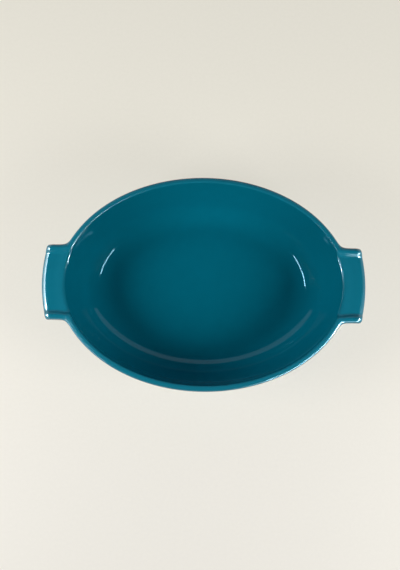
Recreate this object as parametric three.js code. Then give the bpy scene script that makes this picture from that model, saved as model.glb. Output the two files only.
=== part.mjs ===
// Oval baking dish in glazed stoneware, with a raised rim and a ribbed handle at each end.
// Millimetres, +Z up, +X along the dish, origin in the middle of the plane that the foot stands on.
// The dish is fired as one piece, and its meshes are the clay pieces that are luted together before firing.

import * as THREE from "three";
import { LoftGeometry } from "three/addons/geometries/LoftGeometry.js";

// Driving dimensions of the bowl
const RIM_LENGTH = 279; // over the rim, handles left out
const RIM_WIDTH = 206;
const HEIGHT = 70; // table to rim top
const RIM_THICKNESS = 6;
const RIM_DEPTH = 7; // height of the upright rim on top of the wall
const RIM_ROUND = 2.2; // rounding of the rim's and the ribs' top edges
const WALL_THICKNESS = 6.4; // measured level, under the rim
const FLOOR_LENGTH = 180; // the flat of the floor, inside
const FLOOR_WIDTH = 120;
const FLOOR_THICKNESS = 7;
const CORNER_RADIUS = 26; // inside curve from the floor up to the wall
const FOOT_HEIGHT = 3;
const FOOT_WIDTH = 5;
const FOOT_INSET = 4; // from the floor's edge in to the foot
const FOOT_DRAFT = 0.8; // how far each side of the foot leans in towards the table

// Driving dimensions of the handles
const HANDLE_REACH = 15.5; // middle of the grip past the end of the rim
const HANDLE_WIDTH = 72.6;
const HANDLE_BOW = 3.8; // how far the grip's middle stands out past its corners
const HANDLE_CORNER = 4; // rounding of the corners, seen from above
const HANDLE_FLARE = 8; // how far each side spreads along the rim where it meets the dish
const HANDLE_EDGE_DEPTH = 8; // thickness at the outer edge
const HANDLE_ROOT_DEPTH = 16; // thickness at the wall
const HANDLE_ROUND = 3; // rounding of the outer edge, seen from the side
const PLATE_DROP = 3; // the plate between the ribs lies this far under the rim's top
const RIB_WIDTH = 8.7; // from the handle's side in to the plate
const RIB_SLOPE = 4.2; // the part of that width that slopes down to the plate

const JOINT_GAP = 0.3; // luting line between two pieces that meet on a curved face

// How many flat steps each curve is made of
const CORNER_STEPS = 6;
const ROUND_STEPS = 4;
const PLATE_STEPS = 3;
const RIB_STEPS = 2;
const FLARE_STEPS = 3;
const SIDE_STEPS = 11;
const SEAT_STEPS = 2;
const SCOOP_STEPS = 4;

const { lerp, smoothstep, degToRad } = THREE.MathUtils;

// Levels and half sizes that the pieces share
const floorTop = FOOT_HEIGHT + FLOOR_THICKNESS;
const wallTop = HEIGHT - RIM_DEPTH;
const floorHalf = new THREE.Vector2(FLOOR_LENGTH, FLOOR_WIDTH).multiplyScalar(0.5);
const rimHalf = new THREE.Vector2(RIM_LENGTH, RIM_WIDTH).multiplyScalar(0.5);
const wallRun = rimHalf.clone().subScalar(WALL_THICKNESS).sub(floorHalf);
const handleHalf = HANDLE_WIDTH / 2;
const plateHalf = handleHalf - RIB_WIDTH;
const crestHalf = plateHalf + RIB_SLOPE;
const rimRound = Math.min(RIM_ROUND, 0.45 * RIM_THICKNESS, 0.9 * (RIM_DEPTH - PLATE_DROP));
const crestOuter = handleHalf - rimRound;

// Half length and half width of the oval through a section point. share runs from 0 at the floor's edge to 1 at the
// inside of the wall's top, and out is a plain distance outwards from there.
function ovalHalf({ share, out }) {
  return wallRun.clone().multiplyScalar(share).add(floorHalf).addScalar(out);
}

// The section point carried round the oval to an angle.
function ovalPoint(point, angle) {
  const half = ovalHalf(point);
  return new THREE.Vector3(half.x * Math.cos(angle), half.y * Math.sin(angle), point.z);
}

// Even steps from one value to another, the first left out.
function stepsTo(from, to, count) {
  return Array.from({ length: count }, (_, i) => lerp(from, to, (i + 1) / count));
}

// Points of an arc in the plane of a section, both ends kept.
function arc(centreX, centreZ, radius, from, to) {
  return [from, ...stepsTo(from, to, ROUND_STEPS)].map((angle) => ({
    x: centreX + radius * Math.cos(angle),
    z: centreZ + radius * Math.sin(angle),
  }));
}

// Angles round the oval, closed, with edges where the handles' ribs meet the rim.
function ovalAngles() {
  const across = (y) => Math.asin(y / rimHalf.y);
  const zones = [
    [across(plateHalf), PLATE_STEPS],
    [across(crestHalf), RIB_STEPS],
    [across(handleHalf), RIB_STEPS],
    [across(handleHalf + HANDLE_FLARE), RIB_STEPS],
    [Math.PI / 2, SIDE_STEPS],
  ];
  const quarter = [0];
  for (const [end, count] of zones) quarter.push(...stepsTo(quarter.at(-1), end, count));
  const back = quarter.slice(0, -1).reverse();
  const halfTurn = [...quarter, ...back.map((angle) => Math.PI - angle)];
  return [...halfTurn, ...halfTurn.slice(1).map((angle) => Math.PI + angle)];
}

const angles = ovalAngles();

// A ring round the oval. sectionAt gives the closed section at an angle, up the inside and down the outside.
function ovalRing(sectionAt) {
  return new LoftGeometry(
    angles.map((angle) => sectionAt(angle).map((point) => ovalPoint(point, angle))),
  );
}

// The wall's section as two lines of points from the floor up: an arc out of the floor, then straight to the rim.
function wallSection() {
  const run = (wallRun.x + wallRun.y) / 2;
  const radius = Math.min(CORNER_RADIUS, run, wallTop - floorTop);
  const centre = new THREE.Vector2(0, floorTop + radius);
  const toTop = new THREE.Vector2(run, wallTop).sub(centre);
  const leave = Math.atan2(toTop.y, toTop.x) - Math.acos(radius / toTop.length());
  const inner = [];
  const outer = [];
  for (let i = 0; i <= CORNER_STEPS; i++) {
    const angle = lerp(-Math.PI / 2, leave, i / CORNER_STEPS);
    const thickness = lerp(FLOOR_THICKNESS, WALL_THICKNESS * Math.cos(leave), i / CORNER_STEPS);
    const share = (radius * Math.cos(angle)) / run;
    const z = centre.y + radius * Math.sin(angle);
    inner.push({ share, out: 0, z });
    outer.push({ share, out: thickness * Math.cos(angle), z: z + thickness * Math.sin(angle) });
  }
  inner[0].out = JOINT_GAP;
  outer[0].out = JOINT_GAP;
  inner.push({ share: 1, out: 0, z: wallTop });
  outer.push({ share: 1, out: WALL_THICKNESS, z: wallTop });
  return { inner, outer };
}

const wall = wallSection();

// Half sizes of the dish's outside at a height, between the points of the wall's section.
function outsideHalf(z) {
  const above = wall.outer.findIndex((point) => point.z >= z);
  if (above === -1) return ovalHalf(wall.outer.at(-1));
  if (above === 0) return ovalHalf(wall.outer[0]);
  const low = wall.outer[above - 1];
  const high = wall.outer[above];
  return ovalHalf(low).lerp(ovalHalf(high), (z - low.z) / (high.z - low.z));
}

// A level slab that fills the wall's lower opening.
function floorSlab() {
  const loop = (z) => angles.slice(1).map((angle) => ovalPoint({ share: 0, out: 0, z }, angle));
  return new LoftGeometry([loop(FOOT_HEIGHT), loop(floorTop)], { capStart: true, capEnd: true });
}

// The flared side, standing round the floor.
function sideWall() {
  const section = [...wall.inner, ...wall.outer.toReversed()];
  return ovalRing(() => section);
}

// The upright rim, flush with the wall's outside. It dips to the handles' plates, where its outer edge is square.
function rimBand() {
  const inside = WALL_THICKNESS - RIM_THICKNESS;
  return ovalRing((angle) => {
    const y = Math.abs(rimHalf.y * Math.sin(angle));
    const top = HEIGHT - PLATE_DROP * (1 - smoothstep(y, plateHalf, crestHalf));
    const outerRound = lerp(JOINT_GAP, rimRound, smoothstep(y, crestOuter, handleHalf + HANDLE_FLARE));
    const section = [
      { x: inside, z: wallTop },
      ...arc(inside + rimRound, top - rimRound, rimRound, Math.PI, Math.PI / 2),
      ...arc(WALL_THICKNESS - outerRound, top - outerRound, outerRound, Math.PI / 2, 0),
      { x: WALL_THICKNESS, z: wallTop },
    ];
    return section.map(({ x, z }) => ({ share: 1, out: x, z }));
  });
}

// The ring that the dish stands on, under the floor.
function footRing() {
  const outside = -FOOT_INSET;
  const inside = outside - FOOT_WIDTH;
  const section = [
    { share: 0, out: inside + FOOT_DRAFT, z: 0 },
    { share: 0, out: inside, z: FOOT_HEIGHT },
    { share: 0, out: outside, z: FOOT_HEIGHT },
    { share: 0, out: outside - FOOT_DRAFT, z: 0 },
  ];
  return ovalRing(() => section);
}

// Cuts across the handle from its middle to one side, each with its reach along X and its top and lower levels.
function handleCuts() {
  const end = rimHalf.x + HANDLE_REACH;
  const cornerStart = handleHalf - HANDLE_CORNER;
  const rootUnder = HEIGHT - PLATE_DROP - HANDLE_ROOT_DEPTH;
  const edgeUnder = HEIGHT - PLATE_DROP - HANDLE_EDGE_DEPTH;
  const sideTop = HEIGHT - rimRound;

  const reachAt = (y) => {
    if (y <= cornerStart) return end - HANDLE_BOW * (y / cornerStart) ** 2;
    return end - HANDLE_BOW - HANDLE_CORNER + Math.sqrt(HANDLE_CORNER ** 2 - (y - cornerStart) ** 2);
  };
  const topAt = (y) => {
    if (y <= crestOuter) return HEIGHT - PLATE_DROP * (1 - smoothstep(y, plateHalf, crestHalf));
    return sideTop + Math.sqrt(rimRound ** 2 - (y - crestOuter) ** 2);
  };

  const cornerEnd = degToRad(80); // the corner stops just short of the side's own cut
  const sideY = cornerStart + HANDLE_CORNER * Math.sin(cornerEnd);
  const ys = [0];
  for (const [y, count] of [
    [plateHalf, PLATE_STEPS],
    [crestHalf, RIB_STEPS],
    [crestOuter, RIB_STEPS],
    [sideY, RIB_STEPS],
  ])
    ys.push(...stepsTo(ys.at(-1), y, count));
  const cuts = ys.map((y) => ({ y, reach: reachAt(y), top: topAt(y), rootUnder, edgeUnder }));

  // Past the side the handle spreads along the rim in a hollow curve and thins away under it.
  const meetY = handleHalf + HANDLE_FLARE;
  const meetAngle = Math.asin(meetY / rimHalf.y);
  const meet = new THREE.Vector2(rimHalf.x * Math.cos(meetAngle), meetY);
  const slope = (rimHalf.x * Math.tan(meetAngle)) / rimHalf.y;
  const turn = new THREE.Vector2(meet.x + HANDLE_FLARE * slope, handleHalf);
  const start = turn.clone().setX(turn.x + turn.distanceTo(meet));
  const flare = new THREE.QuadraticBezierCurve(start, turn, meet);
  const flareEnd = 0.7; // the last stretch would be thinner than the luting line
  const flareUnder = wallTop - rimRound;
  for (const at of [0, ...stepsTo(0, flareEnd, FLARE_STEPS)]) {
    const point = flare.getPoint(at);
    cuts.push({
      y: point.y,
      reach: point.x,
      top: sideTop,
      rootUnder: lerp(rootUnder, flareUnder, at / flareEnd),
      edgeUnder: lerp(edgeUnder, flareUnder + JOINT_GAP, at / flareEnd),
    });
  }
  return cuts;
}

// One cut's outline: up the seat on the dish, out along the top, round the edge and back along the hollow underside.
function handleSection({ y, reach, top, rootUnder, edgeUnder }) {
  const seatX = (z) => {
    const half = outsideHalf(z).addScalar(JOINT_GAP);
    return half.x * Math.sqrt(1 - (y / half.y) ** 2);
  };
  const seat = [rootUnder, ...stepsTo(rootUnder, wallTop, SEAT_STEPS), top].map((z) => ({ x: seatX(z), z }));
  const round = Math.min(HANDLE_ROUND, 0.45 * (reach - seatX(top)), 0.45 * (top - edgeUnder));
  const edge = new THREE.Vector2(reach - round, edgeUnder);
  const root = new THREE.Vector2(seatX(rootUnder), rootUnder);
  const scoop = new THREE.QuadraticBezierCurve(edge, new THREE.Vector2(lerp(root.x, edge.x, 0.4), edgeUnder), root);
  const underside = scoop.getPoints(SCOOP_STEPS).slice(1, -1);
  return [
    ...seat,
    ...arc(reach - round, top - round, round, Math.PI / 2, 0),
    ...arc(reach - round, edgeUnder + round, round, 0, -Math.PI / 2),
    ...underside.map((point) => ({ x: point.x, z: point.y })),
  ].map((point) => new THREE.Vector3(point.x, y, point.z));
}

// The handle at the +X end.
function handle() {
  const side = handleCuts();
  const otherSide = side.slice(1).toReversed();
  const cuts = [...otherSide.map((cut) => ({ ...cut, y: -cut.y })), ...side];
  return new LoftGeometry(cuts.map(handleSection), { capStart: true, capEnd: true });
}

const glaze = () => new THREE.MeshStandardMaterial({ color: 0x005c70, roughness: 0.12, metalness: 0 });
const bareClay = () => new THREE.MeshStandardMaterial({ color: 0xc9b79b, roughness: 0.85, metalness: 0 });

const dish = new THREE.Group();

function addPiece(name, geometry, material, turn = 0) {
  const mesh = new THREE.Mesh(geometry, material);
  mesh.name = name;
  mesh.rotation.z = turn;
  dish.add(mesh);
}

addPiece("dish_floor", floorSlab(), glaze());
addPiece("side_wall", sideWall(), glaze());
addPiece("rim", rimBand(), glaze());
addPiece("right_handle", handle(), glaze());
addPiece("left_handle", handle(), glaze(), Math.PI);
addPiece("foot_ring", footRing(), bareClay());

export default dish;
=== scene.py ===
"""Dresses the oval baking dish: a gloss-glazed skin with a handle at each end, and a bare clay foot ring."""

from __future__ import annotations

import logging
import math
from dataclasses import dataclass, field
from enum import Enum, IntEnum

import bmesh
import bpy
from mathutils import Euler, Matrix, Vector

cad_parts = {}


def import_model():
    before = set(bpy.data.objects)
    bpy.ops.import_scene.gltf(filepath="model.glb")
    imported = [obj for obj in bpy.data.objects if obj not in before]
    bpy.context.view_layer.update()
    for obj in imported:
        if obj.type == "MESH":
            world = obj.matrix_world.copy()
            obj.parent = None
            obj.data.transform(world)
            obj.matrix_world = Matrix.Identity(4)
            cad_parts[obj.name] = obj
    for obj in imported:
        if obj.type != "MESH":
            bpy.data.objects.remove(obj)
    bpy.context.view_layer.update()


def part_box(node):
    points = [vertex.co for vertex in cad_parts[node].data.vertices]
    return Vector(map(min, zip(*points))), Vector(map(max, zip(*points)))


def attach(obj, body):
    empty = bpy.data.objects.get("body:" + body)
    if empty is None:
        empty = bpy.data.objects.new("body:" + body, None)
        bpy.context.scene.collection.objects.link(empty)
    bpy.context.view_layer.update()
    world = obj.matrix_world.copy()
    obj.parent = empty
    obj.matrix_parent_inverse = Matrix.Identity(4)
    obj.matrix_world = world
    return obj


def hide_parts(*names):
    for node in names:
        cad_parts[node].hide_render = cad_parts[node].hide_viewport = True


MM = 0.001
PHOTO_WIDTH = 400
PHOTO_HEIGHT = 570
NOISE_MEAN = 0.5
MERGE_DISTANCE = 0.01 * MM

Colour = tuple[float, float, float, float]
WHITE: Colour = (1.0, 1.0, 1.0, 1.0)
COOL: Colour = (0.55, 0.84, 1.0, 1.0)
ICY: Colour = (0.33, 0.75, 1.0, 1.0)

log = logging.getLogger("oval_baking_dish")


class Coat(str, Enum):
    """Named measures of the glaze's coat, kept on the mesh."""

    THIN = "thin"
    # How dark the glaze is painted where it pools in the floor's corner, as pooled glaze and painted shade.
    POOL = "pool"


class Wire:
    """A shader socket that takes part in Python arithmetic, each step adding a Math node."""

    def __init__(self, sheet: NodeSheet, socket: bpy.types.NodeSocket) -> None:
        """Keeps the socket and the sheet that new nodes go on."""
        self.sheet = sheet
        self.socket = socket

    def _math(self, operation: str, first: Wire | float, second: Wire | float) -> Wire:
        """Adds one Math node."""
        return self.sheet.node("ShaderNodeMath", {"operation": operation}, {0: first, 1: second})

    def __add__(self, other: Wire | float) -> Wire:
        """This plus other."""
        return self._math("ADD", self, other)

    def __radd__(self, other: float) -> Wire:
        """Other plus this."""
        return self._math("ADD", other, self)

    def __sub__(self, other: Wire | float) -> Wire:
        """This minus other."""
        return self._math("SUBTRACT", self, other)

    def __rsub__(self, other: float) -> Wire:
        """Other minus this."""
        return self._math("SUBTRACT", other, self)

    def __mul__(self, other: Wire | float) -> Wire:
        """This times other."""
        return self._math("MULTIPLY", self, other)

    def __rmul__(self, other: float) -> Wire:
        """Other times this."""
        return self._math("MULTIPLY", other, self)


class NodeSheet:
    """The node tree of a material or of the room, with a single way to add nodes to it."""

    def __init__(self, owner: bpy.types.Material | bpy.types.World) -> None:
        """Clears the owner's tree down to its output.

        Args:
            owner: the material or room that the nodes are for.
        """
        self.owner = owner
        owner.use_nodes = True
        self.tree = owner.node_tree
        self.tree.nodes.clear()
        is_room = isinstance(owner, bpy.types.World)
        self.output = self.tree.nodes.new("ShaderNodeOutputWorld" if is_room else "ShaderNodeOutputMaterial")

    def node(
        self,
        kind: str,
        settings: dict | None = None,
        inputs: dict | None = None,
        out: int | str = 0,
    ) -> Wire:
        """Adds a node.

        Args:
            kind: the node's type.
            settings: attributes set first, with a ramp's stops under "stops".
            inputs: values or wires by socket name or number.
            out: which of its results to hand back.

        Returns:
            The chosen result.
        """
        made = self.tree.nodes.new(kind)
        for key, value in (settings or {}).items():
            if key == "stops":
                self._set_stops(made.color_ramp, value)
            else:
                setattr(made, key, value)
        for key, value in (inputs or {}).items():
            if isinstance(value, Wire):
                self.tree.links.new(value.socket, made.inputs[key])
            else:
                made.inputs[key].default_value = value
        return Wire(self, made.outputs[out])

    @staticmethod
    def _set_stops(ramp: bpy.types.ColorRamp, stops: list[tuple[float, float]]) -> None:
        """Sets a ramp's grey stops.

        Args:
            ramp: the ramp.
            stops: place and grey level of each stop, in order.
        """
        while len(ramp.elements) < len(stops):
            ramp.elements.new(1.0)
        for element, (place, level) in zip(ramp.elements, stops):
            element.position = place
            element.color = (level, level, level, 1.0)

    def attribute(self, coat: Coat) -> Wire:
        """Reads a measure of the coat that is kept on the mesh."""
        return self.node("ShaderNodeAttribute", {"attribute_name": coat.value}, None, "Fac")

    def noise(self, place: Wire, scale: float, detail: float) -> Wire:
        """Adds a cloudy pattern of a scale, with so many finer layers."""
        return self.node("ShaderNodeTexNoise", None, {"Vector": place, "Scale": scale, "Detail": detail})

    def relief(self, height: Wire, depth: float, strength: float) -> Wire:
        """Turns a pattern into a slight unevenness of the surface."""
        return self.node("ShaderNodeBump", None, {"Strength": strength, "Distance": depth, "Height": height})

    def blend(self, share: Wire, first: Wire | Colour, second: Wire | Colour) -> Wire:
        """Mixes two colours, where share is how much of the second shows."""
        return self.node("ShaderNodeMix", {"data_type": "RGBA"}, {0: share, 6: first, 7: second}, 2)

    def toned(self, colour: Wire | Colour, tone: Wire) -> Wire:
        """Makes a colour lighter or darker by a factor."""
        return self.node("ShaderNodeHueSaturation", None, {"Color": colour, "Value": tone})

    def finish(self, shader: Wire) -> bpy.types.Material | bpy.types.World:
        """Joins a shader to the output and hands back the owner."""
        self.tree.links.new(shader.socket, self.output.inputs["Surface"])
        return self.owner


@dataclass(frozen=True)
class Glaze:
    """Gloss petrol-blue glaze over stoneware, which thins on edges and pools in hollows, where its darker
    pooled colour is also painted shade.
    """

    body: Colour = (0.0006, 0.137, 0.203, 1.0)
    thinned: Colour = (0.0065, 0.170, 0.246, 1.0)
    # Darker glaze where it pools, which is also painted shade in the floor's corner.
    pooled_shade: Colour = (0.0004, 0.108, 0.163, 1.0)
    roughness: float = 0.05
    patchiness: float = 0.03
    dulling: float = 0.09
    mottle: float = 0.05
    mottle_scale: float = 90.0
    mottle_detail: float = 4.0
    ripple: float = 0.002 * MM
    ripple_scale: float = 260.0
    ripple_detail: float = 2.0
    ripple_strength: float = 1.0

    def material(self) -> bpy.types.Material:
        """Builds the node tree.

        Returns:
            The finish.
        """
        sheet = NodeSheet(bpy.data.materials.new("petrol_glaze"))
        place = sheet.node("ShaderNodeTexCoord", out="Object")
        cloud = sheet.noise(place, self.mottle_scale, self.mottle_detail)
        wave = sheet.noise(place, self.ripple_scale, self.ripple_detail)
        thin = sheet.attribute(Coat.THIN)
        # Where the glaze is painted darker, as pooled glaze and painted shade.
        pool = sheet.attribute(Coat.POOL)
        coat = sheet.blend(thin, self.body, self.thinned)
        coat = sheet.blend(pool, coat, self.pooled_shade)
        drift = (cloud - NOISE_MEAN) * (2.0 * self.mottle)
        shader = sheet.node("ShaderNodeBsdfPrincipled", None, {
            "Base Color": sheet.toned(coat, drift + 1.0),
            "Roughness": cloud * self.patchiness + thin * self.dulling + self.roughness,
            "Normal": sheet.relief(wave, self.ripple, self.ripple_strength),
        })
        return sheet.finish(shader)


@dataclass(frozen=True)
class BareClay:
    """Unglazed sanded stoneware, with fine sand and a few darker grains."""

    body: Colour = (0.58, 0.48, 0.34, 1.0)
    worn: Colour = (0.46, 0.37, 0.26, 1.0)
    grain: Colour = (0.20, 0.15, 0.10, 1.0)
    roughness: float = 0.8
    sandiness: float = 0.2
    patch_scale: float = 140.0
    patch_detail: float = 3.0
    sand_scale: float = 2200.0
    sand_detail: float = 2.0
    sand_depth: float = 0.15 * MM
    sand_strength: float = 0.35
    grain_scale: float = 900.0
    grain_core: float = 0.10
    grain_edge: float = 0.22
    grain_share: float = 0.7

    def material(self) -> bpy.types.Material:
        """Builds the node tree.

        Returns:
            The finish.
        """
        sheet = NodeSheet(bpy.data.materials.new("bare_clay"))
        place = sheet.node("ShaderNodeTexCoord", out="Object")
        patch = sheet.noise(place, self.patch_scale, self.patch_detail)
        sand = sheet.noise(place, self.sand_scale, self.sand_detail)
        spacing = {"Vector": place, "Scale": self.grain_scale}
        cell = sheet.node("ShaderNodeTexVoronoi", None, spacing, "Distance")
        stops = [(self.grain_core, self.grain_share), (self.grain_edge, 0.0)]
        speck = sheet.node("ShaderNodeValToRGB", {"stops": stops}, {"Fac": cell})
        colour = sheet.blend(patch, self.body, self.worn)
        shader = sheet.node("ShaderNodeBsdfPrincipled", None, {
            "Base Color": sheet.blend(speck, colour, self.grain),
            "Roughness": sand * self.sandiness + self.roughness,
            "Normal": sheet.relief(sand, self.sand_depth, self.sand_strength),
        })
        return sheet.finish(shader)


@dataclass(frozen=True)
class PaleCard:
    """The matt card that the dish stands on, shown pale to the eye without lighting the dish more.

    What shows fades from one colour to another over the span from near the camera's foot to the far side:
    lighter and cooler near, darker and warmer far, as painted light falling off from the lamps in front.
    """

    body: Colour = (0.80, 0.77, 0.69, 1.0)
    near_with_painted_light: Colour = (0.878, 0.848, 0.786, 1.0)
    far_with_painted_shade: Colour = (0.878, 0.840, 0.738, 1.0)
    span: float = 185.0 * MM
    evenness: float = 0.7
    roughness: float = 0.9
    fuzz: float = 0.1
    fibre: float = 0.02
    fibre_scale: float = 300.0
    fibre_detail: float = 4.0
    tooth: float = 0.05 * MM
    tooth_strength: float = 0.3

    def material(self) -> bpy.types.Material:
        """Builds the node tree.

        Returns:
            The finish.
        """
        sheet = NodeSheet(bpy.data.materials.new("pale_card"))
        place = sheet.node("ShaderNodeTexCoord", out="Object")
        fleck = sheet.noise(place, self.fibre_scale, self.fibre_detail)
        tone = (fleck - NOISE_MEAN) * (2.0 * self.fibre) + 1.0
        matt = sheet.node("ShaderNodeBsdfPrincipled", None, {
            "Base Color": sheet.toned(self.body, tone),
            "Roughness": fleck * self.fuzz + self.roughness,
            "Specular IOR Level": 0.0,
            "Normal": sheet.relief(fleck, self.tooth, self.tooth_strength),
        })
        # Painted light: the shown colour is lighter near the camera's foot and darker toward the far side.
        away = sheet.node("ShaderNodeSeparateXYZ", None, {"Vector": place}, "Y")
        share = sheet.node("ShaderNodeMapRange", None, {
            "Value": away,
            "From Min": -self.span,
            "From Max": self.span,
        })
        shown_with_painted_falloff = sheet.blend(share, self.near_with_painted_light, self.far_with_painted_shade)
        glow = sheet.node("ShaderNodeEmission", None, {"Color": sheet.toned(shown_with_painted_falloff, tone), "Strength": 1.0})
        eye = sheet.node("ShaderNodeLightPath", out="Is Camera Ray")
        mirror = sheet.node("ShaderNodeLightPath", out="Is Glossy Ray")
        glass = sheet.node("ShaderNodeLightPath", out="Is Transmission Ray")
        seen = eye + mirror + glass
        shader = sheet.node("ShaderNodeMixShader", None, {0: seen * self.evenness, 1: matt, 2: glow})
        return sheet.finish(shader)


class Column(IntEnum):
    """Lines of the cage that run across the rim, counted from the end of the dish."""

    MIDDLE = 0
    PLATE_INNER = 1
    PLATE_OUTER = 2
    PLATE_EDGE = 3
    RIB_FOOT = 4
    RIB_SLOPE = 5
    CREST_INNER = 6
    CREST_OUTER = 7
    RIB_SIDE = 8
    FLARE = 9
    SIDE = 18


class Grip(IntEnum):
    """Steps in which a handle is pulled out of the dish's end."""

    ROOT = 1
    SUPPORT = 2
    BROW = 3
    BEVEL = 4
    NOSE = 5


class Row(IntEnum):
    """Lines of the cage that run round a handle's edge."""

    TOP = 0
    UPPER = 1
    LOWER = 2
    UNDER = 3


@dataclass(frozen=True)
class GripSection:
    """A cut through a handle, in millimetres.

    back tells how far it lies behind the outer edge, with more at its top and underside where they are round.
    top and upper are counted down from the handle's top, and lower and under up from its underside.
    """

    back: float
    top: float
    upper: float
    lower: float
    under: float
    top_back: float = 0.0
    under_back: float = 0.0

    def setback(self, row: Row) -> float:
        """How far a row lies behind the outer edge."""
        extra = {Row.TOP: self.top_back, Row.UNDER: self.under_back}.get(row, 0.0)
        return (self.back + extra) * MM

    def level(self, row: Row, top: float, under: float) -> float:
        """Gives the height of a row.

        Args:
            row: the row.
            top: height of the handle's top.
            under: height of its underside.

        Returns:
            The row's height.
        """
        if row is Row.TOP:
            return top - self.top * MM
        if row is Row.UPPER:
            return top - self.upper * MM
        if row is Row.LOWER:
            return under + self.lower * MM
        return under + self.under * MM


@dataclass(frozen=True)
class Ring:
    """One oval of the cage.

    level is the height at which the inside of the wall gives the oval's size, and out is a distance outwards
    from there. snug is how far the columns gather at the handles' ribs. At the handles, dip is the share of
    the plate's drop that the ring takes between the ribs, sliding down the wall where slides is set, and bend
    moves the ribs' columns sideways where they turn into the rim. thin tells where the glaze thins, and the
    pool measure where the glaze is painted darker, as pooled glaze and painted shade.
    """

    level: float
    out: float
    z: float
    snug: float = 0.0
    dip: float = 0.0
    slides: bool = False
    bend: float = 0.0
    thin: float = 0.0
    pool: float = 0.0


def piece_from(
    name: str,
    bm: bmesh.types.BMesh,
    material: bpy.types.Material,
    levels: int,
) -> bpy.types.Object:
    """Turns a finished cage into a smooth piece.

    Args:
        name: the piece's name.
        bm: the cage, which is freed.
        material: its finish.
        levels: steps of subdivision.

    Returns:
        The new object.
    """
    bmesh.ops.remove_doubles(bm, verts=bm.verts, dist=MERGE_DISTANCE)
    bmesh.ops.recalc_face_normals(bm, faces=bm.faces)
    for face in bm.faces:
        face.smooth = True
    mesh = bpy.data.meshes.new(name)
    bm.to_mesh(mesh)
    bm.free()
    mesh.materials.append(material)
    piece = bpy.data.objects.new(name, mesh)
    bpy.context.scene.collection.objects.link(piece)
    smooth = piece.modifiers.new("smooth", "SUBSURF")
    smooth.levels = levels
    smooth.render_levels = levels
    return piece


def next_loop(bm: bmesh.types.BMesh, loop: list[bmesh.types.BMVert]) -> list[bmesh.types.BMVert]:
    """Extrudes a closed loop of edges.

    Args:
        bm: the cage.
        loop: its last loop, in order.

    Returns:
        The new loop, in the same order.
    """
    made = bmesh.ops.extrude_edge_only(bm, edges=loop_edges(bm, loop))
    new = {item for item in made["geom"] if isinstance(item, bmesh.types.BMVert)}
    return [next(e.other_vert(v) for e in v.link_edges if e.other_vert(v) in new) for v in loop]


def loop_edges(bm: bmesh.types.BMesh, loop: list[bmesh.types.BMVert]) -> list[bmesh.types.BMEdge]:
    """Finds the edges between a closed loop's vertices."""
    return [bm.edges.get((loop[i - 1], loop[i])) for i in range(len(loop))]


@dataclass(frozen=True)
class WallCurve:
    """The inside of the wall along one axis: an arc out of the floor, then a much longer one up to the rim.

    Sizes are counted from the middle of the dish, and turn is by how many degrees the wall gets steeper.
    """

    floor_edge: float
    floor_level: float
    radius: float
    turn: float
    top: float
    top_level: float

    @property
    def centre(self) -> Vector:
        """Middle of the corner's arc."""
        return Vector((self.floor_edge, self.floor_level + self.radius))

    @property
    def lean(self) -> float:
        """Angle of the normal under the horizontal where the wall takes over from the corner.

        Returns:
            The angle in radians.
        """
        half_turn = math.radians(self.turn) / 2
        top = Vector((self.top, self.top_level)) - self.centre
        rise = math.atan2(top.y, top.x)
        return math.acos(self.radius * math.cos(half_turn) / top.length) - rise + half_turn

    @property
    def joint(self) -> Vector:
        """Where the wall takes over from the corner."""
        return self.centre + self.radius * Vector((math.cos(self.lean), -math.sin(self.lean)))

    def half_at(self, level: float) -> float:
        """Measures how far the inside lies from the middle of the dish.

        Args:
            level: the height it is measured at.

        Returns:
            The distance.
        """
        if level <= self.joint.y:
            under = min(self.radius, self.centre.y - level)
            return self.centre.x + math.sqrt(self.radius ** 2 - under ** 2)
        chord = Vector((self.top, self.top_level)) - self.joint
        long = chord.length / (2.0 * math.sin(math.radians(self.turn) / 2))
        middle = self.joint - long * Vector((math.cos(self.lean), -math.sin(self.lean)))
        return middle.x + math.sqrt(long ** 2 - (middle.y - level) ** 2)


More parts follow.
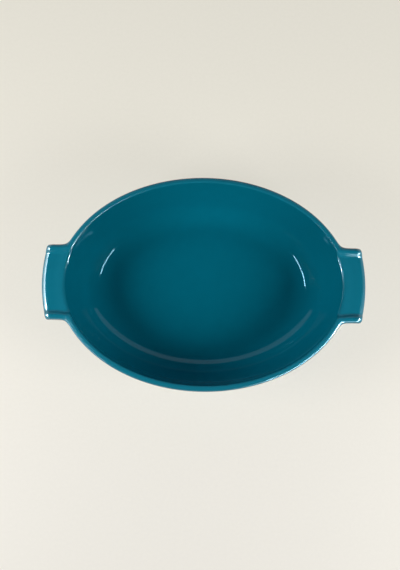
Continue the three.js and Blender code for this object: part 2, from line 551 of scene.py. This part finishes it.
@dataclass
class DishSkin:
    """The glazed dish: floor, flared wall, rim and both handles under one unbroken coat of glaze."""

    rim_half: Vector
    floor_half: Vector
    height: float
    underside: float
    floor_top: float
    reach: float
    wall: float = 7.25 * MM
    rim_depth: float = 7.0 * MM
    side_radius: float = 26.0 * MM
    side_turn: float = 6.9
    end_radius: float = 39.0 * MM
    end_turn: float = 8.0
    end_ease: float = 2.0 * MM
    floor_inset: float = 14.0 * MM
    plate_drop: float = 4.2 * MM
    shoulder_drop: float = 2.6 * MM
    bow: float = 3.8 * MM
    bow_width: float = 32.0 * MM
    crest_setback: float = 0.4 * MM
    side_setback: float = 1.6 * MM
    rib_tuck: float = 0.5 * MM
    edge_depth: float = 8.0 * MM
    root_depth: float = 16.0 * MM
    root_rise: float = 0.6
    plate_root: float = 0.5
    side_root: float = 0.6
    top_thin: float = 0.75
    edge_thin: float = 0.5
    columns: int = 4 * Column.SIDE
    levels: int = 2
    rings: list[Ring] = field(default_factory=list)
    rim_edge: int = 0

    # How far each handle column lies from the dish's long axis, at the rim's outside.
    COLUMN_Y = {
        Column.MIDDLE: 0.0,
        Column.PLATE_INNER: 9.5 * MM,
        Column.PLATE_OUTER: 19.0 * MM,
        Column.PLATE_EDGE: 25.8 * MM,
        Column.RIB_FOOT: 27.9 * MM,
        Column.RIB_SLOPE: 29.6 * MM,
        Column.CREST_INNER: 31.3 * MM,
        Column.CREST_OUTER: 34.3 * MM,
        Column.RIB_SIDE: 36.5 * MM,
        Column.FLARE: 45.0 * MM,
    }

    # The root lies part of the way from the dish to its section.
    GRIP_SECTIONS = {
        Grip.ROOT: GripSection(back=5.8, top=0.0, upper=4.0, lower=4.0, under=0.0),
        Grip.SUPPORT: GripSection(back=5.8, top=0.0, upper=3.2, lower=3.2, under=-0.2),
        Grip.BROW: GripSection(back=4.5, top=0.1, upper=3.6, lower=2.8, under=-0.2),
        Grip.BEVEL: GripSection(back=2.7, top=1.65, upper=4.1, lower=2.4, under=-0.1),
        Grip.NOSE: GripSection(
            back=0.0, top=3.15, upper=4.6, lower=2.0, under=0.1, top_back=1.0, under_back=1.6
        ),
    }

    # How dark the glaze is painted at even steps from the floor's edge up its corner, as pooled glaze and
    # painted shade.
    CORNER_POOL_SHADES = (0.35, 0.3, 0.2, 0.1, 0.0, 0.0, 0.0, 0.0)

    @classmethod
    def from_frame(cls) -> DishSkin:
        """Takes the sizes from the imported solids.

        Returns:
            The dish, not built yet.
        """
        _, rim_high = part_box("rim")
        floor_low, floor_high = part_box("dish_floor")
        _, handle_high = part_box("right_handle")
        return cls(
            rim_half=Vector((rim_high.x, rim_high.y)),
            floor_half=Vector((floor_high.x, floor_high.y)),
            height=rim_high.z,
            underside=floor_low.z,
            floor_top=floor_high.z,
            reach=handle_high.x,
        )

    @property
    def wall_top(self) -> float:
        """Height at which the upright rim starts."""
        return self.height - self.rim_depth

    @property
    def side_curve(self) -> WallCurve:
        """The wall's section across the dish.

        Returns:
            The section.
        """
        edge = self.floor_half.y
        top = self.rim_half.y - self.wall
        return WallCurve(edge, self.floor_top, self.side_radius, self.side_turn, top, self.wall_top)

    @property
    def end_curve(self) -> WallCurve:
        """The wall's section along the dish, where the floor turns up a little earlier and on a larger arc.

        Returns:
            The section.
        """
        edge = self.floor_half.x - self.end_ease
        top = self.rim_half.x - self.wall
        return WallCurve(edge, self.floor_top, self.end_radius, self.end_turn, top, self.wall_top)

    @property
    def swell(self) -> float:
        """How much larger an oval of the cage is than the smooth one that comes out of it."""
        return 3.0 / (2.0 + math.cos(2.0 * math.pi / self.columns))

    def section(self) -> None:
        """Lists the cage's ovals, from the floor up the inside, over the rim and down to the foot."""
        curve = self.side_curve
        low, high = curve.joint.y, self.wall_top
        last_pool = len(self.CORNER_POOL_SHADES) - 1

        def corner(rise: float, out: float = 0.0, pool: float = 0.0) -> Ring:
            """Takes a point of the floor's corner.

            Args:
                rise: 0 on the floor to 1 where the wall takes over.
                out: how far outside the corner it lies.
                pool: how dark the glaze is painted there, as pooled glaze and painted shade.

            Returns:
                The oval through it.
            """
            lean = math.pi / 2 - rise * (math.pi / 2 - curve.lean)
            level = curve.centre.y - curve.radius * math.sin(lean)
            return Ring(level, out * math.cos(lean), level - out * math.sin(lean), pool=pool)

        def wall(rise: float, out: float = 0.0, snug: float = 0.0) -> Ring:
            """A point of the wall; rise runs from 0 at the corner to 1 at the wall's top."""
            level = low + rise * (high - low)
            return Ring(level, out, level, snug)

        def brink(drop: float, **settings: float) -> Ring:
            """A point of the wall close under the rim's top, which slides down the wall at the handles."""
            level = self.height - drop * MM
            return Ring(level, 0.0, level, 1.0, slides=True, **settings)

        def edge(out: float, drop: float, **settings: float) -> Ring:
            """A point of the rim, outside the wall's top and a distance under the rim's."""
            return Ring(self.wall_top, out * MM, self.height - drop * MM, 1.0, **settings)

        inside = [
            Ring(self.floor_top, -self.floor_inset, self.floor_top),
            # The floor's edge and its corner are painted darker, as pooled glaze and painted shade.
            Ring(self.floor_top, -4.0 * MM, self.floor_top, pool=0.3),
            *(corner(step / last_pool, pool=pool) for step, pool in enumerate(self.CORNER_POOL_SHADES)),
            wall(0.25, snug=0.1),
            wall(0.55, snug=0.4),
            wall(0.8, snug=0.7),
            brink(8.5, dip=0.4),
            brink(6.0, dip=0.6),
            brink(4.0, dip=0.75),
            brink(2.4, dip=0.95, bend=1.0 * MM),
            brink(0.9, dip=1.05, bend=2.0 * MM, thin=0.6),
        ]
        crest = [
            edge(2.0, 0.0, dip=1.08, bend=2.0 * MM, thin=1.0),
            edge(3.4, 0.0, dip=1.0, bend=1.6 * MM, thin=1.0),
            edge(4.9, 0.25, dip=1.0, bend=1.0 * MM, thin=1.0),
            edge(6.15, 1.15, dip=1.0, bend=0.5 * MM, thin=1.0),
        ]
        outside = [
            edge(6.9, 2.7, thin=1.0),
            edge(6.95, 5.4),
            wall(0.93, self.wall, 1.0),
            wall(0.7, self.wall, 1.0),
            wall(0.35, self.wall, 0.3),
            corner(1.0, 6.4 * MM),
            corner(0.66, 6.6 * MM),
            corner(0.33, 7.0 * MM),
            Ring(self.floor_top, 1.0 * MM, self.underside),
            Ring(self.floor_top, -self.floor_inset, self.underside),
        ]
        self.rings = inside + crest + outside
        self.rim_edge = len(inside) + len(crest)

    def spot(self, index: int) -> tuple[int, float, float]:
        """Reads a place round the cage.

        Args:
            index: number of the column, counted round from the right end.

        Returns:
            The column counted from the nearer end, and the signs of x and y there.
        """
        half = self.columns // 2
        side_y = 1.0 if index % self.columns <= half else -1.0
        around = index % half
        column = min(around, half - around)
        turned = min(index % self.columns, self.columns - index % self.columns)
        return column, 1.0 if turned <= Column.SIDE else -1.0, side_y

    def gathered_angle(self, column: int, bend: float) -> float:
        """Gives the place round the oval of a column that has gathered at the ribs.

        Args:
            column: the column, counted from the nearer end.
            bend: how far a rib's columns move sideways.

        Returns:
            The angle in radians.
        """
        if column <= Column.FLARE:
            y = self.COLUMN_Y[column]
            if Column.RIB_FOOT <= column <= Column.RIB_SIDE:
                y += bend
            return math.asin(min(1.0, y / self.rim_half.y))
        start = math.asin(self.COLUMN_Y[Column.FLARE] / self.rim_half.y)
        return start + (column - Column.FLARE) / (Column.SIDE - Column.FLARE) * (math.pi / 2 - start)

    def oval_point(self, ring: Ring, index: int) -> Vector:
        """Places one point of an oval.

        Args:
            ring: the oval.
            index: number of the column round the dish.

        Returns:
            The point.
        """
        column, side_x, side_y = self.spot(index)
        drop = ring.dip * self.plate_drop * self.sunk_share(column)
        level = ring.level - drop if ring.slides else ring.level
        half = Vector((self.end_curve.half_at(level) + ring.out, self.side_curve.half_at(level) + ring.out))
        even = column / Column.SIDE * math.pi / 2
        angle = even + ring.snug * (self.gathered_angle(column, ring.bend) - even)
        across = Vector((half.x * math.cos(angle), half.y * math.sin(angle))) * self.swell
        return Vector((side_x * across.x, side_y * across.y, ring.z - drop))

    @staticmethod
    def sunk_share(column: int) -> float:
        """Tells how much of the plate's drop a column takes.

        Args:
            column: the column, counted from the nearer end.

        Returns:
            1 on the plate, 0 on a rib's crest and beyond, and half on the slope between.
        """
        if column == Column.RIB_SLOPE:
            return 0.5
        return 1.0 if column <= Column.RIB_FOOT else 0.0

    def plate_level(self, column: int) -> float:
        """Gives the height of a handle's top along a column.

        Args:
            column: the column, counted from the nearer end.

        Returns:
            The height.
        """
        if column <= Column.CREST_OUTER:
            return self.height - self.plate_drop * self.sunk_share(column)
        return self.height - self.shoulder_drop

    def edge_reach(self, column: int) -> float:
        """Tells how far the handle's outer edge stands out along a column.

        Args:
            column: the column, counted from the nearer end.

        Returns:
            The distance from the middle of the dish.
        """
        if column <= Column.CREST_INNER:
            return self.reach - self.bow * (self.COLUMN_Y[column] / self.bow_width) ** 2
        if column == Column.CREST_OUTER:
            return self.reach - self.bow - self.crest_setback
        return self.reach - self.bow - self.side_setback

    def handle_point(self, step: Grip, row: Row, index: int, base: Vector) -> Vector:
        """Places one point of a handle.

        Args:
            step: which pull it belongs to.
            row: the row it lies on.
            index: number of the column round the dish.
            base: where the pull started on the dish.

        Returns:
            The point.
        """
        column, side_x, side_y = self.spot(index)
        section = self.GRIP_SECTIONS[step]
        under = self.height - self.plate_drop - self.edge_depth
        x = self.edge_reach(column) - section.setback(row)
        y = self.COLUMN_Y[column]
        if column >= Column.RIB_FOOT:
            y -= self.rib_tuck
        if step is Grip.ROOT:
            share = self.side_root if column == Column.RIB_SIDE else self.plate_root
            x = abs(base.x) + share * (x - abs(base.x))
            root_under = self.height - self.plate_drop - self.root_depth
            under = root_under + self.root_rise * (under - root_under)
        return Vector((side_x * x, side_y * y, section.level(row, self.plate_level(column), under)))

    def build(self) -> bmesh.types.BMesh:
        """Extrudes the cage oval by oval, then pulls the handles out of its ends.

        Returns:
            The closed cage.
        """
        self.section()
        bm = bmesh.new()
        coat = {name: bm.verts.layers.float.new(name.value) for name in Coat}
        made = bmesh.ops.create_circle(bm, cap_ends=True, segments=self.columns, radius=1.0)
        loop = list(made["verts"])
        loops = [loop]
        self.place(loop, self.rings[0], coat)
        for ring in self.rings[1:]:
            loop = next_loop(bm, loop)
            self.place(loop, ring, coat)
            loops.append(loop)
        bmesh.ops.edgeloop_fill(bm, edges=loop_edges(bm, loop))
        for outer in loops[self.rim_edge - 2:self.rim_edge + 1]:
            self.settle_rib_roots(outer)
        for start in (0, self.columns // 2):
            self.pull_handle(bm, loops, start)
        return bm

    def place(
        self,
        loop: list[bmesh.types.BMVert],
        ring: Ring,
        coat: dict[Coat, bmesh.types.BMLayerItem],
    ) -> None:
        """Moves a loop's vertices to an oval.

        Args:
            loop: the vertices, in order.
            ring: the oval.
            coat: the mesh layers that tell where the glaze thins and where it is painted darker, as pooled
                glaze and painted shade.
        """
        for index, vert in enumerate(loop):
            vert.co = self.oval_point(ring, index)
            vert[coat[Coat.THIN]] = ring.thin
            vert[coat[Coat.POOL]] = ring.pool

    def settle_rib_roots(self, loop: list[bmesh.types.BMVert]) -> None:
        """Levels the rim's outer edge with the handles' plates and ribs, where they run on from it.

        Args:
            loop: the vertices of one loop of that edge, in order.
        """
        for index, vert in enumerate(loop):
            column, _, _ = self.spot(index)
            if column < Column.RIB_SIDE:
                vert.co.z = self.plate_level(column)

    def pull_handle(self, bm: bmesh.types.BMesh, loops: list[list[bmesh.types.BMVert]], start: int) -> None:
        """Pulls one handle out of the cage's side.

        Args:
            bm: the cage.
            loops: its loops, in order.
            start: the column at the middle of the handle.
        """
        thin = bm.verts.layers.float[Coat.THIN.value]
        rows = list(Row)
        indices = [(start + i) % self.columns for i in range(-Column.RIB_SIDE, Column.RIB_SIDE + 1)]
        place: dict[tuple[Row, int], bmesh.types.BMVert] = {
            (row, index): loops[self.rim_edge + row][index] for row in rows for index in indices
        }
        base = {key: vert.co.copy() for key, vert in place.items()}
        faces = [
            bm.faces.get((place[row, a], place[row, b], place[below, b], place[below, a]))
            for row, below in zip(rows, rows[1:])
            for a, b in zip(indices, indices[1:])
        ]
        for step in Grip:
            names = {tuple(vert.co): key for key, vert in place.items()}
            made = bmesh.ops.extrude_face_region(bm, geom=faces)
            bmesh.ops.delete(bm, geom=faces, context="FACES")
            faces = [item for item in made["geom"] if isinstance(item, bmesh.types.BMFace)]
            fresh = [item for item in made["geom"] if isinstance(item, bmesh.types.BMVert)]
            place = {names[tuple(vert.co)]: vert for vert in fresh}
            for (row, index), vert in place.items():
                vert.co = self.handle_point(step, row, index, base[row, index])
                vert[thin] = self.top_thin if row is Row.TOP else self.edge_thin

    def dress(self) -> bpy.types.Object:
        """Builds the skin, glazes it and sets it in the frame.

        Returns:
            The finished piece.
        """
        piece = piece_from("glazed_dish", self.build(), Glaze().material(), self.levels)
        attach(piece, "root")
        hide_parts("dish_floor", "side_wall", "rim", "right_handle", "left_handle")
        return piece


@dataclass
class FootRing:
    """The low oval ring of bare clay that the dish stands on."""

    half: Vector
    height: float
    width: float = 5.0 * MM
    draft: float = 0.8 * MM
    rounding: float = 0.6 * MM
    rounding_steps: int = 2
    sunk: float = 0.4 * MM
    columns: int = 96
    levels: int = 1

    @classmethod
    def from_frame(cls) -> FootRing:
        """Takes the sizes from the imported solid."""
        _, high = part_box("foot_ring")
        return cls(half=Vector((high.x, high.y)), height=high.z)

    def build(self) -> bmesh.types.BMesh:
        """Extrudes the ring's four sides and rounds the edges that touch the table.

        Returns:
            The closed cage.
        """
        top = self.height + self.sunk
        corners = ((-self.draft, 0.0), (0.0, top), (-self.width, top), (self.draft - self.width, 0.0))
        bm = bmesh.new()
        made = bmesh.ops.create_circle(bm, segments=self.columns, radius=1.0)
        loop = list(made["verts"])
        directions = [vert.co.copy() for vert in loop]
        loops = []
        for out, z in corners:
            if loops:
                loop = next_loop(bm, loop)
            for vert, direction in zip(loop, directions):
                vert.co = Vector((direction.x * (self.half.x + out), direction.y * (self.half.y + out), z))
            loops.append(loop)
        table_edges = loop_edges(bm, loops[0]) + loop_edges(bm, loops[-1])
        bmesh.ops.bridge_loops(bm, edges=table_edges)
        bmesh.ops.bevel(
            bm,
            geom=table_edges,
            offset=self.rounding,
            segments=self.rounding_steps,
            profile=0.5,
            affect="EDGES",
            material=-1,
        )
        return bm

    def dress(self) -> bpy.types.Object:
        """Builds the ring, leaves it unglazed and sets it in the frame.

        Returns:
            The finished piece.
        """
        piece = piece_from("bare_foot", self.build(), BareClay().material(), self.levels)
        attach(piece, "root")
        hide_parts("foot_ring")
        return piece


class Use(Enum):
    """What a lamp is there for."""

    BOTH = "lights the dish and shows in its glaze"
    FILL = "lights the dish without showing in its glaze, as a lamp behind a polariser does"
    SHEEN = "only shows in the glaze"


@dataclass(frozen=True)
class Lamp:
    """One oblong soft lamp that faces its aim; level is its brightness, where 1 is white."""

    name: str
    place: Vector
    aim: Vector
    width: float
    height: float
    level: float
    use: Use
    tint: Colour = WHITE

    def hang(self) -> None:
        """Adds the lamp to the scene."""
        data = bpy.data.lights.new(self.name, "AREA")
        data.shape = "RECTANGLE"
        data.size = self.width
        data.size_y = self.height
        data.energy = self.level * math.pi * self.width * self.height
        data.color = self.tint[:3]
        lamp = bpy.data.objects.new(self.name, data)
        lamp.location = self.place
        lamp.rotation_euler = (self.place - self.aim).to_track_quat("Z", "Y").to_euler()
        lamp.visible_glossy = self.use is not Use.FILL
        lamp.visible_diffuse = self.use is not Use.SHEEN
        bpy.context.scene.collection.objects.link(lamp)


@dataclass
class Studio:
    """Floor, lamps and camera."""

    rim_height: float
    card_half: float = 3.0
    card_steps: int = 8
    wall_colour: Colour = (0.72, 0.69, 0.62, 1.0)
    picture_width: float = 378.9 * MM
    sensor_width: float = 36.0
    distance: float = 0.95
    elevation: float = 83.3
    lean: float = -1.0
    turn: float = 0.63
    aim_x: float = -4.05 * MM
    aim_y: float = -1.85 * MM

    LAMPS = (
        Lamp(
            name="left_bar",
            place=Vector((-0.53, -0.168, 0.836)),
            aim=Vector((0.0, -0.168, 0.836)),
            width=0.439,
            height=0.050,
            level=43.0,
            use=Use.SHEEN,
            tint=ICY,
        ),
        Lamp(
            name="right_bar",
            place=Vector((0.60, -0.285, 0.694)),
            aim=Vector((0.0, -0.285, 0.694)),
            width=0.40,
            height=0.045,
            level=32.0,
            use=Use.SHEEN,
            tint=ICY,
        ),
        Lamp(
            name="left_soft",
            place=Vector((-0.62, -0.16, 0.42)),
            aim=Vector((0.0, 0.0, 0.04)),
            width=0.34,
            height=0.30,
            level=15.2,
            use=Use.FILL,
        ),
        Lamp(
            name="right_soft",
            place=Vector((0.585, -0.28, 0.42)),
            aim=Vector((0.0, 0.0, 0.04)),
            width=0.34,
            height=0.30,
            level=13.9,
            use=Use.FILL,
        ),
        Lamp(
            name="left_screen",
            place=Vector((-0.80, -0.16, 0.0825)),
            aim=Vector((0.0, 0.0, 0.0825)),
            width=1.35,
            height=0.165,
            level=7.0,
            use=Use.SHEEN,
        ),
        Lamp(
            name="left_strip",
            place=Vector((-0.79, -0.035, 0.135)),
            aim=Vector((0.0, 0.0, 0.135)),
            width=0.66,
            height=0.06,
            level=30.0,
            use=Use.SHEEN,
            tint=COOL,
        ),
        Lamp(
            name="right_screen",
            place=Vector((0.647, -0.47, 0.0975)),
            aim=Vector((0.0, 0.0, 0.0975)),
            width=0.815,
            height=0.135,
            level=30.0,
            use=Use.SHEEN,
            tint=COOL,
        ),
        Lamp(
            name="right_strip",
            place=Vector((0.637, -0.463, 0.135)),
            aim=Vector((0.0, 0.0, 0.135)),
            width=0.815,
            height=0.06,
            level=90.0,
            use=Use.SHEEN,
            tint=COOL,
        ),
        Lamp(
            name="front_strip",
            place=Vector((0.327, -0.749, 0.1375)),
            aim=Vector((0.147, 0.031, 0.1375)),
            width=0.22,
            height=0.055,
            level=30.0,
            use=Use.SHEEN,
            tint=COOL,
        ),
        Lamp(
            name="left_edge",
            place=Vector((-0.785, -0.153, 0.135)),
            aim=Vector((0.0, 0.0, 0.135)),
            width=0.225,
            height=0.06,
            level=400.0,
            use=Use.SHEEN,
            tint=COOL,
        ),
        Lamp(
            name="right_edge",
            place=Vector((0.763, -0.241, 0.135)),
            aim=Vector((0.0, 0.0, 0.135)),
            width=0.268,
            height=0.06,
            level=600.0,
            use=Use.SHEEN,
            tint=COOL,
        ),
        Lamp(
            name="back_glow",
            place=Vector((0.0, 0.80, 0.10)),
            aim=Vector((0.0, 0.0, 0.10)),
            width=2.2,
            height=0.20,
            level=0.75,
            use=Use.SHEEN,
        ),
        Lamp(
            name="back_panel",
            place=Vector((0.0, 0.62, 0.45)),
            aim=Vector((0.0, 0.0, 0.45)),
            width=2.2,
            height=0.345,
            level=0.66,
            use=Use.BOTH,
            tint=COOL,
        ),
    )

    def floor(self) -> None:
        """Lays the card."""
        bm = bmesh.new()
        bmesh.ops.create_grid(bm, x_segments=self.card_steps, y_segments=self.card_steps, size=self.card_half)
        mesh = bpy.data.meshes.new("card")
        bm.to_mesh(mesh)
        bm.free()
        mesh.materials.append(PaleCard().material())
        card = bpy.data.objects.new("card", mesh)
        bpy.context.scene.collection.objects.link(card)

    def lamps(self) -> None:
        """Hangs the lamps in a room whose pale wall only the camera sees."""
        sheet = NodeSheet(bpy.data.worlds.new("room"))
        eye = sheet.node("ShaderNodeLightPath", out="Is Camera Ray")
        wall = sheet.node("ShaderNodeBackground", None, {"Color": self.wall_colour, "Strength": eye})
        bpy.context.scene.world = sheet.finish(wall)
        for lamp in self.LAMPS:
            lamp.hang()

    def camera(self) -> None:
        """Stands the camera where the photograph was taken from."""
        data = bpy.data.cameras.new("camera")
        data.sensor_width = self.sensor_width
        data.lens = data.sensor_width * (self.distance / self.picture_width) * PHOTO_WIDTH / PHOTO_HEIGHT
        camera = bpy.data.objects.new("camera", data)
        tilt = math.radians(90.0 - self.elevation)
        camera.rotation_euler = Euler((tilt, math.radians(self.lean), math.radians(self.turn)))
        aim = Vector((self.aim_x, self.aim_y, self.rim_height))
        back = camera.rotation_euler.to_matrix() @ Vector((0.0, 0.0, 1.0))
        camera.location = aim + back * self.distance
        bpy.context.scene.collection.objects.link(camera)
        bpy.context.scene.camera = camera


def main() -> None:
    """Builds every piece in order."""
    logging.basicConfig(level=logging.INFO, format="%(name)s: %(message)s")
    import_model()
    skin = DishSkin.from_frame()
    foot = FootRing.from_frame()
    for piece in (skin.dress(), foot.dress()):
        log.info("%s: cage of %d faces", piece.name, len(piece.data.polygons))
    studio = Studio(rim_height=skin.height)
    studio.floor()
    studio.lamps()
    studio.camera()
    log.info("studio: card, %d lamps and camera", len(studio.LAMPS))
    bpy.context.scene.view_settings.view_transform = "Standard"


if __name__ == "__main__":
    main()
